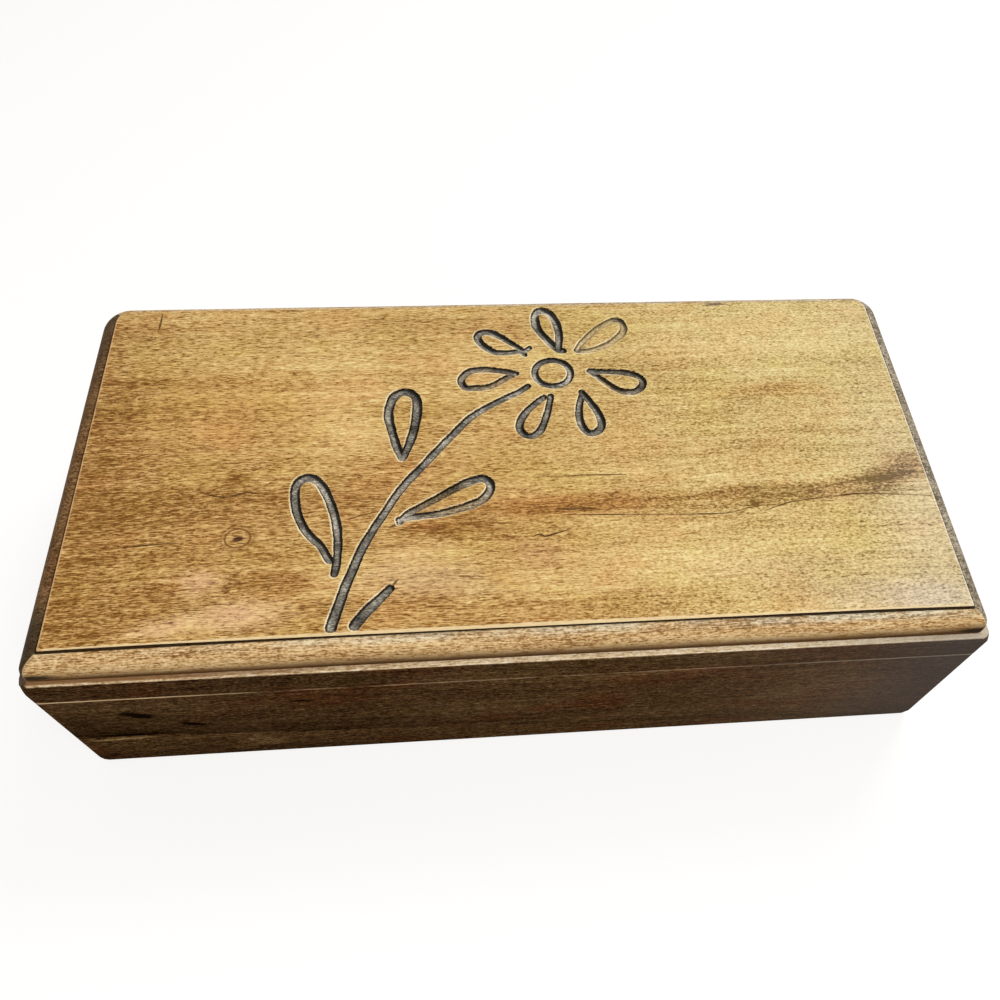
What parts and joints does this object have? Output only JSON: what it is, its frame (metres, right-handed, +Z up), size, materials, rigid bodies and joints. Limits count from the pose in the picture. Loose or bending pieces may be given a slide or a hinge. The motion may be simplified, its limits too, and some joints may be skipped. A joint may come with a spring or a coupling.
{
  "type": "wooden jewelry box",
  "caption": "Low rectangular wooden jewelry box with a hinged, beaded lid carved with a flower, felt linings and a divided tray that slides on runners.",
  "frame": {"origin": "middle of the footprint, on the surface that the box stands on", "axes": "+X along the length, to the right seen from the front; +Y towards the hinged back; +Z up"},
  "size_m": [0.3076, 0.152, 0.0825],
  "materials": {
    "top_wood": "golden stain, satin varnish",
    "wall_wood": "dark stain, satin varnish",
    "inner_wood": "bare, lightly waxed",
    "panel_wood": "bare plywood",
    "felt": "short nap felt",
    "hinge_brass": "aged, satin",
    "screw_brass": "aged, satin"
  },
  "bodies": {
    "box": {"front_wall": "wall_wood", "right_wall": "wall_wood", "back_wall": "wall_wood", "left_wall": "wall_wood", "corner_splines": "inner_wood", "bottom_panel": "panel_wood", "base_felt": "felt", "tray_runner_front": "inner_wood", "tray_runner_back": "inner_wood", "left_hinge_box_leaf": "hinge_brass", "right_hinge_box_leaf": "hinge_brass", "left_hinge_pin": "hinge_brass", "right_hinge_pin": "hinge_brass", "box_hinge_screws": "screw_brass"},
    "lid": {"lid_top": "top_wood", "lid_front_rail": "wall_wood", "lid_right_rail": "wall_wood", "lid_back_rail": "wall_wood", "lid_left_rail": "wall_wood", "lid_corner_splines": "inner_wood", "lid_felt": "felt", "left_hinge_lid_leaf": "hinge_brass", "right_hinge_lid_leaf": "hinge_brass", "lid_hinge_screws": "screw_brass"},
    "tray": {"tray_floor": "inner_wood", "tray_felt": "felt", "tray_front_side": "inner_wood", "tray_back_side": "inner_wood", "tray_left_end": "inner_wood", "tray_right_end": "inner_wood", "tray_long_divider": "inner_wood", "tray_cross_divider": "inner_wood"}
  },
  "joints": [
    {"name": "lid_hinge", "type": "hinge", "parent": "box", "child": "lid", "pos_m": [0, 0.0735, 0.0592], "axis": [-1, 0, 0], "range_deg": [0, 100]},
    {"name": "tray_slide", "type": "slide", "parent": "box", "child": "tray", "axis": [1, 0, 0], "range_m": [0, 0.1493]}
  ]
}
